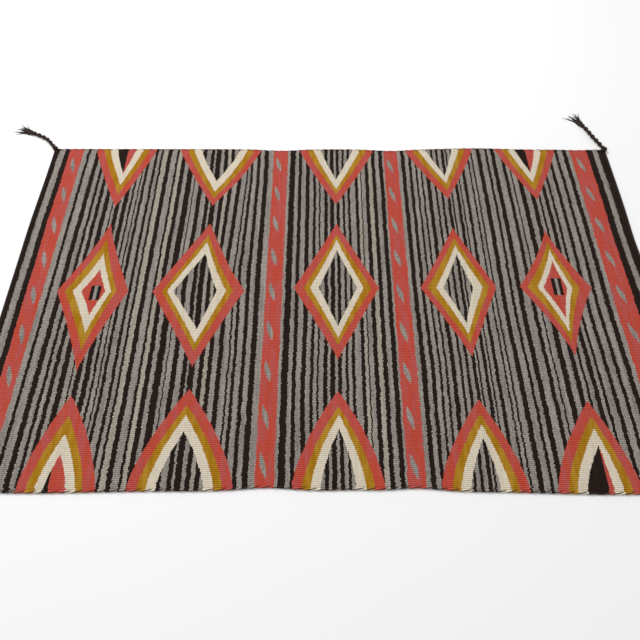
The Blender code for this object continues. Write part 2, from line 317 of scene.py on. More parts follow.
# The cords' sRGB colour, the floor and the studio's light
CORD_BROWN = (52, 38, 32)
FLOOR_HALF_SIDE = 30.0
FLOOR_DROP = 0.0001
WORLD_STRENGTH = 0.62
KEY_PLACE = (-1.4, 1.9, 3.2)
KEY_SIZE = 2.2
KEY_POWER = 95.0

rng = np.random.default_rng(SEED)


def smooth_share(value):
    value = np.clip(value, 0.0, 1.0)
    return value * value * (3.0 - 2.0 * value)


def edge_push(waves, along, half):
    """How far an edge stands outside its straight line at places along it."""
    fade = smooth_share((half - np.abs(along)) / WAVE_FADE)
    return fade * sum(push * np.exp(-(((along - at) / reach) ** 2)) for at, push, reach in waves)


def on_cloth(u, y):
    """X and Y in the part's frame of points of the weave, with its wandering and its wavy edges."""
    x = (u - LENGTH_MM / 2) * MM
    share = (y - BORDER_MM) / FIELD_WIDTH_MM
    far = FIELD_HALF_Y + edge_push(FAR_WAVES, x, FIELD_HALF_X)
    near = -FIELD_HALF_Y - edge_push(NEAR_WAVES, x, FIELD_HALF_X)
    across = far + (near - far) * share
    to_end = np.minimum(x + FIELD_HALF_X, FIELD_HALF_X - x)
    to_side = np.minimum(share, 1.0 - share)
    calm = smooth_share(to_end / 0.05) * smooth_share(to_side / 0.04)
    wander = sum(
        push * np.exp(-(((u - at_u) / reach_u) ** 2) - ((y - at_y) / reach_y) ** 2)
        for at_u, at_y, push, reach_u, reach_y in WANDERS
    )
    near_left = np.exp(-(((x + FIELD_HALF_X) / END_WAVE_REACH) ** 2))
    near_right = np.exp(-(((x - FIELD_HALF_X) / END_WAVE_REACH) ** 2))
    left = edge_push(LEFT_WAVES, across, FIELD_HALF_Y) * near_left
    right = edge_push(RIGHT_WAVES, across, FIELD_HALF_Y) * near_right
    x = x + wander * calm * MM - left + right
    inside = np.clip(CORNER_RADIUS - to_side * FIELD_WIDTH_MM * MM, 0.0, CORNER_RADIUS)
    cut = CORNER_RADIUS - np.sqrt(CORNER_RADIUS ** 2 - inside ** 2)
    return x * (1.0 - cut / FIELD_HALF_X), across


def diamond_edges(diamond, y):
    """u of the left and right edges of a diamond's four outlines at each y, apart from the tips."""
    lefts = []
    rights = []
    for top, bottom, left, right in zip(diamond.tops, diamond.bottoms, diamond.lefts, diamond.rights):
        tip = np.where(y < diamond.middle, top, bottom)
        share = np.clip((y - tip) / (diamond.middle - tip), 0.0, 1.0) ** diamond.curve
        lefts.append(np.where(share > 0.0, diamond.centre + (left - diamond.centre) * share, EMPTY_U))
        rights.append(np.where(share > 0.0, diamond.centre + (right - diamond.centre) * share, -EMPTY_U))
    return np.stack(lefts, axis=-1), np.stack(rights, axis=-1)


def half_edges(half, edge_y, y):
    """The same for half a diamond that is cut by the side edge at edge_y."""
    lefts = []
    rights = []
    for tip_u, tip_y, left, right in zip(half.tips_u, half.tips_y, half.lefts, half.rights):
        share = 1.0 - (1.0 - np.clip((y - tip_y) / (edge_y - tip_y), 0.0, 1.0)) ** half.curve
        lefts.append(np.where(share > 0.0, tip_u + (left - tip_u) * share, EMPTY_U))
        rights.append(np.where(share > 0.0, tip_u + (right - tip_u) * share, -EMPTY_U))
    return np.stack(lefts, axis=-1), np.stack(rights, axis=-1)


def lozenge_at(u, y):
    """Centre, half width and rim yarn of the lozenge or bar at y that a place u may lie in."""
    centre = np.zeros_like(y)
    half = np.full_like(y, -1.0)
    rim = np.full_like(y, float(GREY))
    for start, end, at_u, first_y in LOZENGE_BANDS:
        if start <= u <= end:
            turn = np.round((y - first_y) / LOZENGE_PITCH_MM)
            share = (y - first_y - turn * LOZENGE_PITCH_MM) / LOZENGE_HALF_LENGTH_MM
            centre = at_u + LOZENGE_LEAN_MM * share
            half = LOZENGE_HALF_WIDTH_MM * (1.0 - np.abs(share) ** LOZENGE_POINT)
    for at_u, first_y, last_y, half_width in BARS:
        if abs(u - at_u) < COLUMN_SPACING_MM:
            inside = (y > first_y) & (y < last_y)
            centre = np.where(inside, at_u, centre)
            half = np.where(inside, half_width, half)
            rim = np.where(inside, float(DARK), rim)
    return centre, half, rim


def pattern_chart(places):
    """The pattern at each of the places u, warp by warp: the four outlines' left and right edges, the
    lozenge or bar as centre, half width and rim yarn, and the yarn of the core."""
    y = BORDER_MM + (np.arange(WARPS) + 0.5) * WARP_PITCH_MM
    charts = []
    for diamond, far, near in zip(DIAMONDS, FAR_HALVES, NEAR_HALVES):
        whole_left, whole_right = diamond_edges(diamond, y)
        far_left, far_right = half_edges(far, 0.0, y)
        near_left, near_right = half_edges(near, WIDTH_MM, y)
        left = np.minimum(np.minimum(whole_left, far_left), near_left)
        right = np.maximum(np.maximum(whole_right, far_right), near_right)
        charts.append((left, right))
    chart = {"left": [], "right": [], "inset": [], "core": []}
    for u in places:
        number = min(range(len(DIAMONDS)), key=lambda index: abs(DIAMONDS[index].centre - u))
        diamond = DIAMONDS[number]
        chart["left"].append(charts[number][0])
        chart["right"].append(charts[number][1])
        centre, half, rim = lozenge_at(u, y)
        chart["inset"].append(np.stack([centre, half, rim], axis=-1))
        whole = (y > diamond.tops[0]) & (y < diamond.bottoms[0])
        parted = float(STRIPED) if diamond.core == STRIPED else float(DARK if u < diamond.centre else CORAL)
        chart["core"].append(np.where(whole, float(diamond.core), parted))
    return {name: np.stack(values, axis=1) for name, values in chart.items()}


def column_places():
    """Where the mesh's columns stand along the rug: diamonds' centres, bands' edges and between."""
    fixed = set()
    for inward in (0.0, SHOULDER_MM, 3 * SHOULDER_MM):
        fixed |= {BORDER_MM + inward, LENGTH_MM - BORDER_MM - inward}
    fixed |= {float(diamond.centre) for diamond in DIAMONDS}
    fixed |= {(a.centre + b.centre) / 2 for a, b in zip(DIAMONDS, DIAMONDS[1:])}
    for start, end, _, _ in LOZENGE_BANDS:
        fixed |= {float(start), float(end)}
    places = sorted(fixed)
    filled = []
    for start, end in zip(places, places[1:]):
        steps = max(1, round((end - start) / COLUMN_SPACING_MM))
        filled += [start + (end - start) * step / steps for step in range(steps)]
    return np.array(filled + [places[-1]])


def add_piece(name, points, faces, materials):
    """A mesh that is fixed to the part's body."""
    mesh = bpy.data.meshes.new(name)
    mesh.from_pydata(np.asarray(points).tolist(), [], faces)
    for material in materials:
        mesh.materials.append(material)
    piece = bpy.data.objects.new(name, mesh)
    bpy.context.scene.collection.objects.link(piece)
    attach(piece, "root")
    return piece


def set_attribute(piece, name, kind, domain, values):
    field = {"FLOAT": "value", "FLOAT_VECTOR": "vector", "FLOAT_COLOR": "color"}[kind]
    attribute = piece.data.attributes.new(name, kind, domain)
    attribute.data.foreach_set(field, np.ascontiguousarray(values, dtype=np.float32).ravel())


def set_pattern(piece, chart, warps, spans):
    """Gives each face its part of the chart, by its warp and by its span between two columns."""
    warp = warps + 0.5
    set_attribute(piece, "left_edges", "FLOAT_COLOR", "FACE", chart["left"][warps, spans])
    set_attribute(piece, "right_edges", "FLOAT_COLOR", "FACE", chart["right"][warps, spans])
    set_attribute(piece, "inset", "FLOAT_VECTOR", "FACE", chart["inset"][warps, spans])
    core_and_warp = np.stack([chart["core"][warps, spans], warp, 0.0 * warp], axis=-1)
    set_attribute(piece, "core_and_warp", "FLOAT_VECTOR", "FACE", core_and_warp)


def rib_height(share):
    """The rounded height of a rib across one warp, 0 in the valleys and 1 on the crown."""
    return np.sin(np.pi * share) ** RIB_FULLNESS


def field_section(v):
    """Heights of the cloth's upper and lower face at places v, which are counted in warps."""
    rib = rib_height(v % 1.0)
    evenness = np.repeat(rng.uniform(LEAST_EVENNESS, 1.0, WARPS + 1), ROWS_PER_WARP)[: len(v)]
    above = THICKNESS + RIB_PROUD - RIB_DEPTH * (1.0 - rib * evenness)
    below = RIB_DEPTH_BELOW * (1.0 - rib * evenness)
    to_side = np.clip(np.minimum(v, WARPS - v) / 0.5, 0.0, 1.0)
    round_side = np.sqrt(1.0 - (1.0 - to_side) ** 2)
    middle = THICKNESS / 2
    return middle + (above - middle) * round_side, middle + (below - middle) * round_side


def make_field(material):
    """The woven cloth: one closed mesh, ribbed above and below, which knows its place in the weave."""
    columns = column_places()
    row_count = WARPS * ROWS_PER_WARP + 1
    v = np.arange(row_count) / ROWS_PER_WARP
    above, below = field_section(v)
    around_v = np.concatenate([v, v[::-1]])
    around_z = np.concatenate([above, below[::-1]])
    grid_u, grid_v = np.meshgrid(columns, around_v)
    grid_x, grid_y = on_cloth(grid_u, BORDER_MM + grid_v * WARP_PITCH_MM)
    to_end = np.minimum(columns - columns[0], columns[-1] - columns)
    flattening = 1.0 - SHOULDER_DROP * (1.0 - np.clip(to_end / SHOULDER_MM, 0.0, 1.0))
    grid_z = THICKNESS / 2 + (around_z[:, None] - THICKNESS / 2) * flattening[None, :]
    points = np.stack([grid_x, grid_y, grid_z], axis=-1).reshape(-1, 3)

    around, along = grid_u.shape
    row = np.arange(around)[:, None]
    after = (row + 1) % around
    span = np.arange(along - 1)[None, :]
    faces = np.stack(
        [row * along + span, after * along + span, after * along + span + 1, row * along + span + 1],
        axis=-1,
    ).reshape(-1, 4)
    top = np.arange(row_count - 1)
    bottom = around - 1 - top
    end_faces = np.stack([top, bottom, bottom - 1, top + 1], axis=-1) * along
    faces = np.concatenate([faces, end_faces, end_faces[:, ::-1] + along - 1])
    piece = add_piece("woven_field", points, faces.tolist(), [material])

    lowest_v = np.minimum(around_v, around_v[after[:, 0]])
    warps = np.minimum(lowest_v.astype(int), WARPS - 1)
    end_warps = top // ROWS_PER_WARP
    face_warps = np.concatenate([np.repeat(warps, along - 1), end_warps, end_warps])
    face_spans = np.concatenate([
        np.tile(span[0], around),
        np.zeros_like(end_warps),
        np.full_like(end_warps, along - 2),
    ])
    set_pattern(piece, pattern_chart((columns[:-1] + columns[1:]) / 2), face_warps, face_spans)
    set_attribute(piece, "weave", "FLOAT_VECTOR", "POINT", np.stack([grid_u, grid_v, 0 * grid_u], axis=-1))
    add_bake_layer(piece, points)
    piece.data.shade_smooth()
    piece.data.set_sharp_from_angle(angle=RIB_CREASE)
    return piece


def add_bake_layer(piece, points):
    """A flat map of the cloth seen from above, shared by both faces, which carry one pattern."""
    layer = piece.data.uv_layers.new(name="OFBake")
    corners = np.empty(len(piece.data.loops), dtype=np.int32)
    piece.data.loops.foreach_get("vertex_index", corners)
    flat = points[corners][:, :2] / (LENGTH, WIDTH) + 0.5
    layer.uv.foreach_set("vector", np.ascontiguousarray(flat, dtype=np.float32).ravel())


def tube(path, radii, sides, flatness=1.0):
    """Points and faces of a closed tube around a path, and each point's (distance, angle)."""
    path = np.asarray(path, dtype=float)
    radii = np.broadcast_to(radii, len(path))
    along = np.gradient(path, axis=0)
    along /= np.linalg.norm(along, axis=1)[:, None]
    distance = np.concatenate([[0.0], np.cumsum(np.linalg.norm(np.diff(path, axis=0), axis=1))])
    left = np.cross((0.0, 0.0, 1.0), along)
    left /= np.maximum(np.linalg.norm(left, axis=1), 1.0e-6)[:, None]
    up = np.cross(along, left)
    angles = 2 * np.pi * np.arange(sides) / sides
    out = np.cos(angles)[None, :, None] * left[:, None, :]
    rise = np.sin(angles)[None, :, None] * up[:, None, :] * flatness
    points = path[:, None, :] + (out + rise) * radii[:, None, None]
    places = np.stack(np.broadcast_arrays(distance[:, None], angles[None, :]), axis=-1)
    ring = np.arange(len(path) - 1)[:, None] * sides
    side = np.arange(sides)[None, :]
    after = (side + 1) % sides
    quads = np.stack([ring + side, ring + after, ring + sides + after, ring + sides + side], axis=-1)
    faces = quads.reshape(-1, 4).tolist()
    faces.append(list(range(sides))[::-1])
    last = (len(path) - 1) * sides
    faces.append(list(range(last, last + sides)))
    return points.reshape(-1, 3), faces, places.reshape(-1, 2)


class Bundle:
    """Tubes that are collected into one piece."""

    def __init__(self):
        self.points = []
        self.faces = []
        self.strands = []
        self.materials = []
        self.count = 0

    def add(self, path, radii, sides, material=0, flatness=1.0):
        points, faces, places = tube(path, radii, sides, flatness)
        self.faces += [[self.count + index for index in face] for face in faces]
        self.points.append(points)
        tone = np.full((len(points), 1), rng.uniform())
        self.strands.append(np.concatenate([places, tone], axis=1))
        self.materials += [material] * len(faces)
        self.count += len(points)

    def build(self, name, materials):
        piece = add_piece(name, np.concatenate(self.points), self.faces, materials)
        set_attribute(piece, "strand", "FLOAT_VECTOR", "POINT", np.concatenate(self.strands))
        piece.data.polygons.foreach_set("material_index", self.materials)
        piece.data.shade_smooth()
        return piece


def side_path(side, waves, step, outward=0.0):
    """Places along the cord of a side edge, and the height of its middle."""
    reach = KNOT_X - KNOT_RADIUS / 2
    x = np.linspace(-reach, reach, round(2 * reach / step) + 1)
    offset = FIELD_HALF_Y + GAP + CORD_WIDTH / 2 + outward
    y = side * (offset + edge_push(waves, x, FIELD_HALF_X))
    return np.stack([x, y, np.full_like(x, CORD_HEIGHT / 2)], axis=-1)


def end_path(side, waves, step):
    """The same for the cord of an end."""
    reach = KNOT_Y - KNOT_RADIUS / 2
    y = np.linspace(-reach, reach, round(2 * reach / step) + 1)
    offset = FIELD_HALF_X + GAP + CORD_WIDTH / 2
    x = side * (offset + edge_push(waves, y, FIELD_HALF_Y))
    return np.stack([x, y, np.full_like(y, CORD_HEIGHT / 2)], axis=-1)


def wound(path, offset, turn_length, phase):
    """A path that winds around another."""
    along = np.gradient(path, axis=0)
    along /= np.linalg.norm(along, axis=1)[:, None]
    left = np.cross((0.0, 0.0, 1.0), along)
    travelled = np.concatenate([[0.0], np.cumsum(np.linalg.norm(np.diff(path, axis=0), axis=1))])
    uneven = 0.35 * np.sin(travelled / 0.071) + 0.25 * np.sin(travelled / 0.0387)
    angle = phase + uneven + 2 * np.pi * travelled / turn_length
    lift = np.array((0.0, 0.0, 1.0))[None, :] * np.sin(angle)[:, None]
    return path + offset * (np.cos(angle)[:, None] * left + lift)


def make_side_cord(name, side, waves, materials):
    """The weft's loops over a side edge, with two dark strands twined around them."""
    bundle = Bundle()
    loops = side_path(side, waves, LOOP_STEP, -LOOP_INWARD)
    bundle.add(loops, LOOP_HALF_WIDTH, LOOP_SIDES, 1, LOOP_HALF_HEIGHT / LOOP_HALF_WIDTH)
    middle = side_path(side, waves, STRAND_STEP)
    for number in range(2):
        strand = wound(middle, SIDE_STRAND_OFFSET, side * SIDE_STRAND_TURN, math.pi * number)
        bundle.add(strand, SIDE_STRAND_RADIUS, STRAND_SIDES)
    piece = bundle.build(name, materials)
    u = np.concatenate([points[:, 0] for points in bundle.points]) / MM + LENGTH_MM / 2
    v = np.full_like(u, 0.5 if side > 0 else WARPS - 0.5)
    set_attribute(piece, "weave", "FLOAT_VECTOR", "POINT", np.stack([u, v, 0 * u], axis=-1))
    face_u = np.array([u[face].mean() for face in bundle.faces])
    edges = np.arange(0.0, LENGTH_MM + 1.0, 1.0)
    chart = pattern_chart(edges)
    spans = np.clip(np.round(face_u), 0, len(edges) - 1).astype(int)
    warps = np.full(len(spans), 0 if side > 0 else WARPS - 1)
    set_pattern(piece, chart, warps, spans)
    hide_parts(name)
    return piece


def make_end_cord(name, side, waves, material):
    """Three dark strands twined around each other along an end."""
    bundle = Bundle()
    middle = end_path(side, waves, STRAND_STEP)
    for number in range(3):
        strand = wound(middle, END_STRAND_OFFSET, END_STRAND_TURN, 2 * math.pi * number / 3)
        bundle.add(strand, END_STRAND_RADIUS, STRAND_SIDES)
    piece = bundle.build(name, [material])
    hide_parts(name)
    return piece


def smooth_route(corners, step):
    """Places about one step apart along a smooth curve through the corners."""
    corners = np.asarray(corners, dtype=float)
    padded = np.concatenate([[2 * corners[0] - corners[1]], corners, [2 * corners[-1] - corners[-2]]])
    dense = []
    for before, start, end, after in zip(padded, padded[1:], padded[2:], padded[3:]):
        share = np.linspace(0.0, 1.0, CURVE_STEPS, endpoint=False)[:, None]
        dense.append(0.5 * (
            2 * start
            + (end - before) * share
            + (2 * before - 5 * start + 4 * end - after) * share ** 2
            + (3 * start - 3 * end + after - before) * share ** 3
        ))
    dense = np.concatenate(dense + [corners[-1:]])
    reached = np.concatenate([[0.0], np.cumsum(np.linalg.norm(np.diff(dense, axis=0), axis=1))])
    count = max(3, round(reached[-1] / step))
    wanted = np.linspace(0.0, reached[-1], count + 1)
    places = [np.interp(wanted, reached, values) for values in dense.T]
    return np.stack(places, axis=-1), wanted


def rope_yarns(tassel, travelled):
    """Offsets to the left and upwards of each of the rope's yarns, at each distance travelled."""
    turn = tassel.phase + 2 * np.pi * travelled / TWIST_LENGTH
    yarns = []
    for ply in range(2):
        ply_angle = turn + np.pi * ply
        for number in range(YARNS_IN_PLY):
            around = 2 * np.pi * number / (YARNS_IN_PLY - 1) + 0.6 * turn
            offset = YARN_OFFSET if number else 0.0
            left = PLY_OFFSET * np.cos(ply_angle) + offset * np.cos(around)
            rise = PLY_OFFSET * np.sin(ply_angle) + offset * np.sin(around)
            yarns.append((left, rise))
    return yarns


def make_tassel(tassel, material):
    """A corner tassel: a wrapped knot, a rope of two plies and the locks that its yarns open into."""
    bundle = Bundle()
    knot = np.array((tassel.side_x * KNOT_X, tassel.side_y * KNOT_Y))
    outward = np.array((tassel.side_x, tassel.side_y))
    corners = [knot] + [knot + outward * step for step in tassel.route]
    route, travelled = smooth_route(corners, ROPE_STEP)
    along = np.gradient(route, axis=0)
    along /= np.linalg.norm(along, axis=1)[:, None]
    left = np.stack([-along[:, 1], along[:, 0]], axis=-1)
    add_knot(bundle, knot, along[0])

    length = travelled[-1]
    opened = smooth_share(1.0 - (length - travelled) / OPENING_LENGTH)
    middle = KNOT_RADIUS + (ROPE_RADIUS - KNOT_RADIUS) * smooth_share(travelled / (2 * KNOT_RADIUS))
    yarns = rope_yarns(tassel, travelled)
    order = sorted(range(len(yarns)), key=lambda number: -yarns[number][0][-7])
    heading = math.atan2(along[-1][1], along[-1][0])
    for rank, number in enumerate(order):
        yarn_left, yarn_rise = yarns[number]
        share = rank / (len(order) - 1)
        level = YARN_RADIUS * (1.2 + 2.0 * (rank % 2))
        off = yarn_left + (ROOT_WIDTH * (0.5 - share) - yarn_left) * opened
        rise = middle + yarn_rise + (level - middle - yarn_rise) * opened
        rope = np.concatenate([route + left * off[:, None], rise[:, None]], axis=1)
        lock = round(share * (tassel.locks - 1))
        lean = rng.uniform(-LOCK_LEAN, LOCK_LEAN)
        fan = FAN_ANGLE * (0.5 - lock / (tassel.locks - 1)) + lean
        uneven = 0.14 * (1.0 - math.sin(2.4 * lock + tassel.phase))
        reach = tassel.lock_length * (1.0 - uneven) * rng.uniform(LEAST_REACH, 1.0)
        tail = loose_end(rope[-1], heading, fan, reach)
        path = np.concatenate([rope, tail])
        radii = np.concatenate([np.full(len(rope), YARN_RADIUS), tail_radii(len(tail))])
        bundle.add(path, radii, YARN_SIDES)
    for steps in tassel.strays:
        places, _ = smooth_route([route[-1] + outward * step for step in steps], ROPE_STEP)
        lift = 0.0012 + STRAY_LIFT * np.sin(np.linspace(0.0, math.pi, len(places)))
        path = np.concatenate([places, lift[:, None]], axis=1)
        bundle.add(path, np.linspace(STRAY_RADIUS, STRAY_RADIUS * 0.6, len(path)), YARN_SIDES)
    piece = bundle.build(tassel.name, [material])
    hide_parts(tassel.name)
    return piece


def add_knot(bundle, knot, along):
    """A ball of wraps around the rope's start."""
    turn = np.linspace(0.0, 1.0, WRAP_STEPS)
    ball = KNOT_RADIUS - WRAP_RADIUS
    shift = ball * 0.92 * (2.0 * turn - 1.0)
    ring = np.sqrt(ball ** 2 - shift ** 2)
    angle = 2 * np.pi * WRAP_TURNS * turn
    centre = np.array((knot[0], knot[1], KNOT_RADIUS))
    forward = np.array((along[0], along[1], 0.0))
    aside = np.array((-along[1], along[0], 0.0))
    up = np.array((0.0, 0.0, 1.0))
    path = (
        centre
        + shift[:, None] * forward
        + (ring * np.cos(angle))[:, None] * aside
        + (ring * np.sin(angle))[:, None] * up
    )
    bundle.add(path, WRAP_RADIUS, YARN_SIDES)
    core = centre + np.linspace(-1.0, 1.0, KNOT_CORE_STEPS)[:, None] * forward * ball
    core_radii = (ball - WRAP_RADIUS / 4) * np.sqrt(1.0 - np.linspace(-0.98, 0.98, KNOT_CORE_STEPS) ** 2)
    bundle.add(core, core_radii, KNOT_CORE_SIDES)


def loose_end(start, heading, fan, reach):
    """The places of a yarn's loose end, which turns into the fan, waves a little and comes down."""
    count = round(reach / ROPE_STEP)
    wave = rng.uniform(0.0, 2 * math.pi)
    places = []
    place = np.array(start)
    for step in range(1, count + 1):
        share = step / count
        sway = 0.22 * share * math.sin(wave + 5.0 * share)
        angle = heading + fan * float(smooth_share(share / 0.62)) + sway
        place = place + np.array((math.cos(angle), math.sin(angle), 0.0)) * reach / count
        sink = float(smooth_share(share / 0.8))
        lift = 0.0006 * math.sin(math.pi * share) * (1.0 + math.sin(wave))
        place[2] = start[2] + (YARN_RADIUS * 0.6 - start[2]) * sink + lift
        places.append(place.copy())
    return np.array(places)


def tail_radii(count):
    """A loose yarn's radius, which swells a little and then thins to its tip."""
    share = np.linspace(0.0, 1.0, count)
    fuller = YARN_RADIUS * (1.0 + 0.15 * np.sin(math.pi * share))
    return fuller + (TIP_RADIUS - fuller) * smooth_share((share - 0.35) / 0.65)


def srgb(colour):
    """Linear red, green, blue and alpha of an sRGB colour given as 0 to 255."""
    shares = np.array(colour, dtype=float) / 255.0
    linear = np.where(shares <= 0.04045, shares / 12.92, ((shares + 0.055) / 1.055) ** 2.4)
    return (*linear, 1.0)


class Graph:
    """A material's node tree, with short ways to add the nodes that the yarns need."""

    def __init__(self, name):
        self.material = bpy.data.materials.new(name)
        self.material.use_nodes = True
        self.tree = self.material.node_tree
        self.shader = self.tree.nodes["Principled BSDF"]

    def put(self, socket, value):
        if isinstance(value, bpy.types.NodeSocket):
            self.tree.links.new(value, socket)
        else:
            socket.default_value = value

    def add(self, kind, inputs, **settings):
        node = self.tree.nodes.new(kind)
        for name, value in settings.items():
            setattr(node, name, value)
        for key, value in inputs.items():
            self.put(node.inputs[key], value)
        return node

    def math(self, operation, *values):
        return self.add("ShaderNodeMath", dict(enumerate(values)), operation=operation).outputs[0]

    def plus(self, first, second):
        return self.math("ADD", first, second)

    def minus(self, first, second):
        return self.math("SUBTRACT", first, second)

    def times(self, first, second):
        return self.math("MULTIPLY", first, second)

    def choose(self, share, first, second):
        """first where share is 0 and second where it is 1, for numbers."""
        return self.add("ShaderNodeMix", {0: share, 2: first, 3: second}).outputs[0]

    def blend(self, share, first, second, mode="MIX"):
        """The same for colours."""
        inputs = {0: share, 6: first, 7: second}
        return self.add("ShaderNodeMix", inputs, data_type="RGBA", blend_type=mode).outputs[2]

    def attribute(self, name):
        return self.add("ShaderNodeAttribute", {}, attribute_name=name).outputs

    def split(self, vector):
        return self.add("ShaderNodeSeparateXYZ", {0: vector}).outputs

    def join(self, x, y, z=0.0):
        return self.add("ShaderNodeCombineXYZ", {0: x, 1: y, 2: z}).outputs[0]

    def grey(self, value):
        return self.add("ShaderNodeCombineColor", {0: value, 1: value, 2: value}).outputs[0]

    def noise(self, vector, detail, roughness):
        inputs = {"Vector": vector, "Scale": 1.0, "Detail": detail, "Roughness": roughness}
        return self.add("ShaderNodeTexNoise", inputs).outputs["Fac"]

    def grain(self, u, y, grain):
        """The noise of a row of the table of noises, at a place on the cloth."""
        vector = self.join(self.times(u, grain.along), self.times(y, grain.across))
        return self.noise(vector, grain.detail, grain.roughness)

    def random(self, vector):
        return self.add("ShaderNodeTexWhiteNoise", {"Vector": vector}).outputs["Value"]

    def rise(self, value, start, end):
        """A smooth step from 0 at start to 1 at end."""
        inputs = {0: value, 1: start, 2: end}
        return self.add("ShaderNodeMapRange", inputs, interpolation_type="SMOOTHSTEP").outputs[0]

    def steps(self, share, stops):
        """A colour ramp without blending, from (position, colour) stops."""
        node = self.add("ShaderNodeValToRGB", {0: share})
        ramp = node.color_ramp
        ramp.interpolation = "CONSTANT"
        ramp.elements.remove(ramp.elements[1])
        ramp.elements[0].position = 0.0
        ramp.elements[0].color = stops[0][1]
        for position, colour in stops[1:]:
            ramp.elements.new(position).color = colour
        return node.outputs[0]

    def by_yarn(self, yarn, colours):
        """A colour for each yarn, picked by its number."""
        count = len(colours)
        share = self.math("DIVIDE", self.plus(yarn, 0.5), float(count))
        return self.steps(share, [(index / count, colour) for index, colour in enumerate(colours)])


def stripe_list():
    """Every stripe and coral band from the left end, as (start, yarn)."""
    stripes = []
    for start, yarn, ends in PANELS:
        if stripes:
            stripes.append((stripes.pop()[0], CORAL))
        for place in (start,) + ends[:-1]:
            stripes.append((place, LIGHT if yarn == GREY and place in LIGHT_STRIPES else yarn))
            yarn = DARK + GREY - yarn
        stripes.append((ends[-1], CORAL))
    return stripes


def stripe_yarn(graph, u):
    """The number of the yarn that the stripes have at u, from ramps that share out the length."""
    stripes = stripe_list()
    starts = np.array([start for start, _ in stripes])
    chosen = 0.0
    for ramp_start in np.arange(0.0, LENGTH_MM, RAMP_SPAN_MM):
        ramp_end = ramp_start + RAMP_SPAN_MM
        first = np.searchsorted(starts, ramp_start, side="right") - 1
        last = np.searchsorted(starts, ramp_end, side="left")
        stops = []
        for start, yarn in stripes[first:last]:
            tone = yarn / len(YARNS)
            stops.append((max(0.0, (start - ramp_start) / RAMP_SPAN_MM), (tone, tone, tone, 1.0)))
        share = graph.math("DIVIDE", graph.minus(u, float(ramp_start)), RAMP_SPAN_MM)
        number = graph.times(graph.steps(share, stops), float(len(YARNS)))
        chosen = graph.choose(graph.math("GREATER_THAN", u, float(ramp_start)), chosen, number)
    return graph.math("ROUND", chosen)


def pattern_yarn(graph, bead_u, wobble):
    """The number of the yarn that shows in a bead of the weave."""
    left_edges = graph.attribute("left_edges")
    right_edges = graph.attribute("right_edges")
    lefts = [*graph.split(left_edges["Color"]), left_edges["Alpha"]]
    rights = [*graph.split(right_edges["Color"]), right_edges["Alpha"]]
    core = graph.split(graph.attribute("core_and_warp")["Vector"])[0]
    centre, half, rim = graph.split(graph.attribute("inset")["Vector"])

    stripe = stripe_yarn(graph, graph.plus(bead_u, wobble))
    core_yarn = graph.choose(graph.math("LESS_THAN", core, -0.5), core, stripe)
    edge_u = graph.plus(bead_u, graph.times(wobble, MOTIF_STRAY))
    yarn = stripe
    for left, right, number in zip(lefts, rights, (float(CORAL), float(GOLD), float(CREAM), core_yarn)):
        inside = graph.math("MINIMUM", graph.minus(edge_u, left), graph.minus(right, edge_u))
        yarn = graph.choose(graph.math("GREATER_THAN", inside, 0.0), yarn, number)
    off_centre = graph.math("ABSOLUTE", graph.minus(bead_u, centre))
    yarn = graph.choose(graph.math("LESS_THAN", off_centre, half), yarn, rim)
    in_middle = graph.math("LESS_THAN", off_centre, graph.times(half, LOZENGE_MIDDLE))
    yarn = graph.choose(in_middle, yarn, float(GREY))
    return graph.math("ROUND", yarn)


